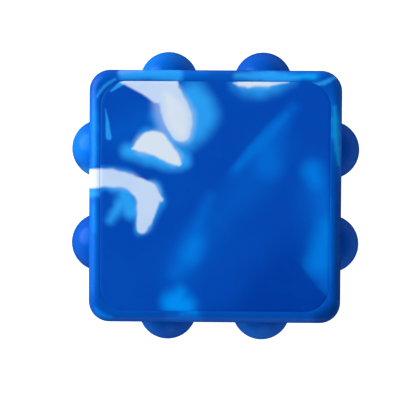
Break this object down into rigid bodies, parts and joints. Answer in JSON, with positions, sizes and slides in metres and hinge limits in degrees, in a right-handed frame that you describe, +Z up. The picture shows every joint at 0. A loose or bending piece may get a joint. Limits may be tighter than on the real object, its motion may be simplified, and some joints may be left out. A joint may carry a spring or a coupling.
{
  "type": "silicone bubble popper cube",
  "caption": "Hollow round-edged silicone squeeze cube with rows of domed bubbles to pop on its side walls, a flat bonded top cap and a flat base.",
  "frame": {"origin": "centre of the flat base that the cube stands on", "axes": "+Z up, from the base to the flat top cap; the bubbles are on the walls that face +X, -X, +Y and -Y, and -Y is the front"},
  "size_m": [0.079, 0.079, 0.065],
  "materials": {
    "marbled_silicone": "glossy moulded silicone in deep blue, marbled with sky blue and white"
  },
  "bodies": {
    "cube": {"cube_shell": "marbled_silicone", "top_cap": "marbled_silicone", "front_lower_left_hinge_ring": "marbled_silicone", "front_lower_right_hinge_ring": "marbled_silicone", "front_upper_left_hinge_ring": "marbled_silicone", "front_upper_right_hinge_ring": "marbled_silicone", "right_lower_left_hinge_ring": "marbled_silicone", "right_lower_right_hinge_ring": "marbled_silicone", "right_upper_left_hinge_ring": "marbled_silicone", "right_upper_right_hinge_ring": "marbled_silicone", "back_lower_left_hinge_ring": "marbled_silicone", "back_lower_right_hinge_ring": "marbled_silicone", "back_upper_left_hinge_ring": "marbled_silicone", "back_upper_right_hinge_ring": "marbled_silicone", "left_lower_left_hinge_ring": "marbled_silicone", "left_lower_right_hinge_ring": "marbled_silicone", "left_upper_left_hinge_ring": "marbled_silicone", "left_upper_right_hinge_ring": "marbled_silicone"},
    "front_lower_left_bubble": {"front_lower_left_crown": "marbled_silicone"},
    "front_lower_right_bubble": {"front_lower_right_crown": "marbled_silicone"},
    "front_upper_left_bubble": {"front_upper_left_crown": "marbled_silicone"},
    "front_upper_right_bubble": {"front_upper_right_crown": "marbled_silicone"},
    "right_lower_left_bubble": {"right_lower_left_crown": "marbled_silicone"},
    "right_lower_right_bubble": {"right_lower_right_crown": "marbled_silicone"},
    "right_upper_left_bubble": {"right_upper_left_crown": "marbled_silicone"},
    "right_upper_right_bubble": {"right_upper_right_crown": "marbled_silicone"},
    "back_lower_left_bubble": {"back_lower_left_crown": "marbled_silicone"},
    "back_lower_right_bubble": {"back_lower_right_crown": "marbled_silicone"},
    "back_upper_left_bubble": {"back_upper_left_crown": "marbled_silicone"},
    "back_upper_right_bubble": {"back_upper_right_crown": "marbled_silicone"},
    "left_lower_left_bubble": {"left_lower_left_crown": "marbled_silicone"},
    "left_lower_right_bubble": {"left_lower_right_crown": "marbled_silicone"},
    "left_upper_left_bubble": {"left_upper_left_crown": "marbled_silicone"},
    "left_upper_right_bubble": {"left_upper_right_crown": "marbled_silicone"}
  },
  "joints": [
    {"name": "front_lower_left_pop", "type": "slide", "parent": "cube", "child": "front_lower_left_bubble", "axis": [0, 1, 0], "range_m": [0, 0.014], "deforming": ["front_lower_left_hinge_ring"]},
    {"name": "front_lower_right_pop", "type": "slide", "parent": "cube", "child": "front_lower_right_bubble", "axis": [0, 1, 0], "range_m": [0, 0.014], "deforming": ["front_lower_right_hinge_ring"]},
    {"name": "front_upper_left_pop", "type": "slide", "parent": "cube", "child": "front_upper_left_bubble", "axis": [0, 1, 0], "range_m": [0, 0.014], "deforming": ["front_upper_left_hinge_ring"]},
    {"name": "front_upper_right_pop", "type": "slide", "parent": "cube", "child": "front_upper_right_bubble", "axis": [0, 1, 0], "range_m": [0, 0.014], "deforming": ["front_upper_right_hinge_ring"]},
    {"name": "right_lower_left_pop", "type": "slide", "parent": "cube", "child": "right_lower_left_bubble", "axis": [-1, 0, 0], "range_m": [0, 0.014], "deforming": ["right_lower_left_hinge_ring"]},
    {"name": "right_lower_right_pop", "type": "slide", "parent": "cube", "child": "right_lower_right_bubble", "axis": [-1, 0, 0], "range_m": [0, 0.014], "deforming": ["right_lower_right_hinge_ring"]},
    {"name": "right_upper_left_pop", "type": "slide", "parent": "cube", "child": "right_upper_left_bubble", "axis": [-1, 0, 0], "range_m": [0, 0.014], "deforming": ["right_upper_left_hinge_ring"]},
    {"name": "right_upper_right_pop", "type": "slide", "parent": "cube", "child": "right_upper_right_bubble", "axis": [-1, 0, 0], "range_m": [0, 0.014], "deforming": ["right_upper_right_hinge_ring"]},
    {"name": "back_lower_left_pop", "type": "slide", "parent": "cube", "child": "back_lower_left_bubble", "axis": [0, -1, 0], "range_m": [0, 0.014], "deforming": ["back_lower_left_hinge_ring"]},
    {"name": "back_lower_right_pop", "type": "slide", "parent": "cube", "child": "back_lower_right_bubble", "axis": [0, -1, 0], "range_m": [0, 0.014], "deforming": ["back_lower_right_hinge_ring"]},
    {"name": "back_upper_left_pop", "type": "slide", "parent": "cube", "child": "back_upper_left_bubble", "axis": [0, -1, 0], "range_m": [0, 0.014], "deforming": ["back_upper_left_hinge_ring"]},
    {"name": "back_upper_right_pop", "type": "slide", "parent": "cube", "child": "back_upper_right_bubble", "axis": [0, -1, 0], "range_m": [0, 0.014], "deforming": ["back_upper_right_hinge_ring"]},
    {"name": "left_lower_left_pop", "type": "slide", "parent": "cube", "child": "left_lower_left_bubble", "axis": [1, 0, 0], "range_m": [0, 0.014], "deforming": ["left_lower_left_hinge_ring"]},
    {"name": "left_lower_right_pop", "type": "slide", "parent": "cube", "child": "left_lower_right_bubble", "axis": [1, 0, 0], "range_m": [0, 0.014], "deforming": ["left_lower_right_hinge_ring"]},
    {"name": "left_upper_left_pop", "type": "slide", "parent": "cube", "child": "left_upper_left_bubble", "axis": [1, 0, 0], "range_m": [0, 0.014], "deforming": ["left_upper_left_hinge_ring"]},
    {"name": "left_upper_right_pop", "type": "slide", "parent": "cube", "child": "left_upper_right_bubble", "axis": [1, 0, 0], "range_m": [0, 0.014], "deforming": ["left_upper_right_hinge_ring"]}
  ]
}
